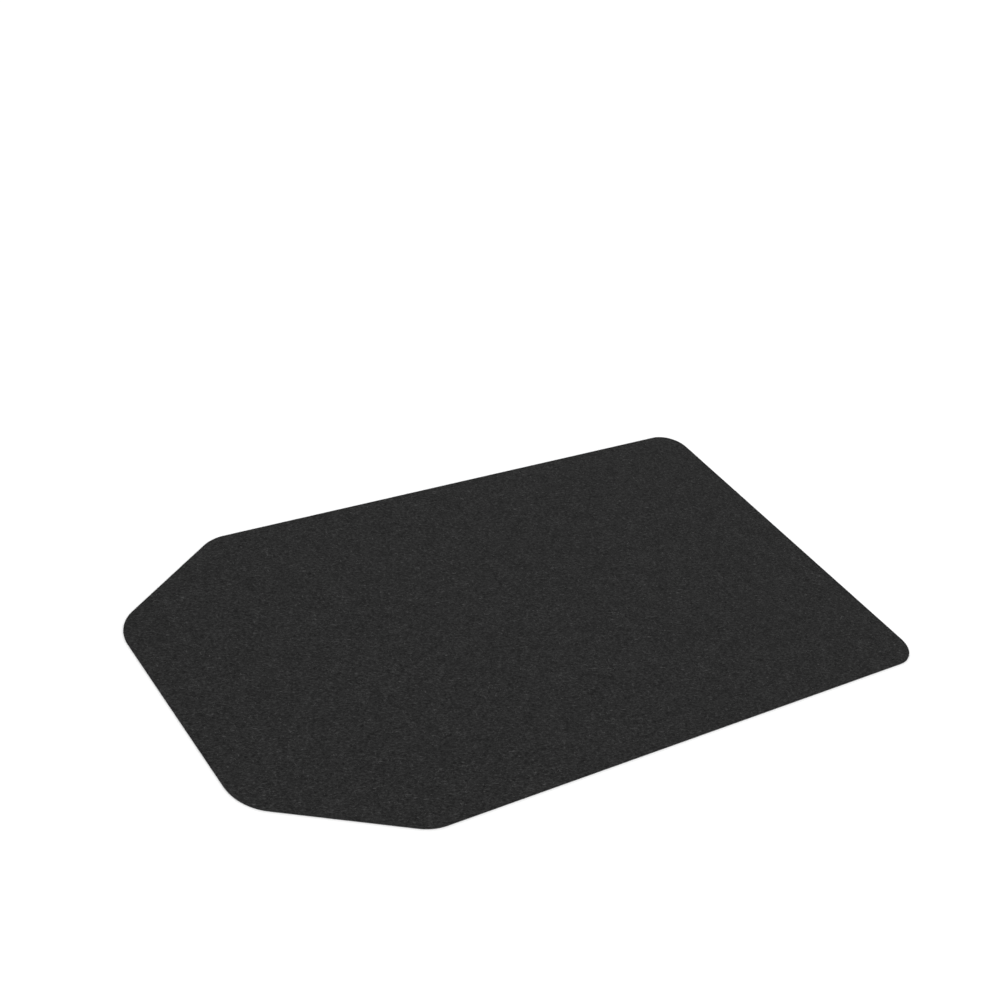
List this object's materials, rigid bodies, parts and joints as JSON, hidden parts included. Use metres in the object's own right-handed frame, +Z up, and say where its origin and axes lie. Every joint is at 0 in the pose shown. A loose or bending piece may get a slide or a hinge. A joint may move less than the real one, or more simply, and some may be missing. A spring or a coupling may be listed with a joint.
{
  "type": "chair mat",
  "caption": "Flat chair mat, a long rectangle with clipped, rounded corners at its narrow end: a charcoal needled felt face bonded to a non-slip rubber backing.",
  "frame": {"origin": "centre of the mat's length and width, on the floor that it lies on", "axes": "+X along the length, from the narrow end with the clipped corners to the full-width end, +Y across the mat, +Z up from the rubber backing to the felt face"},
  "size_m": [1.4, 0.8, 0.004],
  "materials": {
    "backing_rubber": "matte",
    "hot_melt_film": "satin",
    "scrim_cloth": "matte",
    "charcoal_felt": "matte"
  },
  "bodies": {
    "root": {"grip_backing": "backing_rubber", "bond_film": "hot_melt_film", "woven_scrim": "scrim_cloth", "felt_face": "charcoal_felt"}
  },
  "joints": []
}
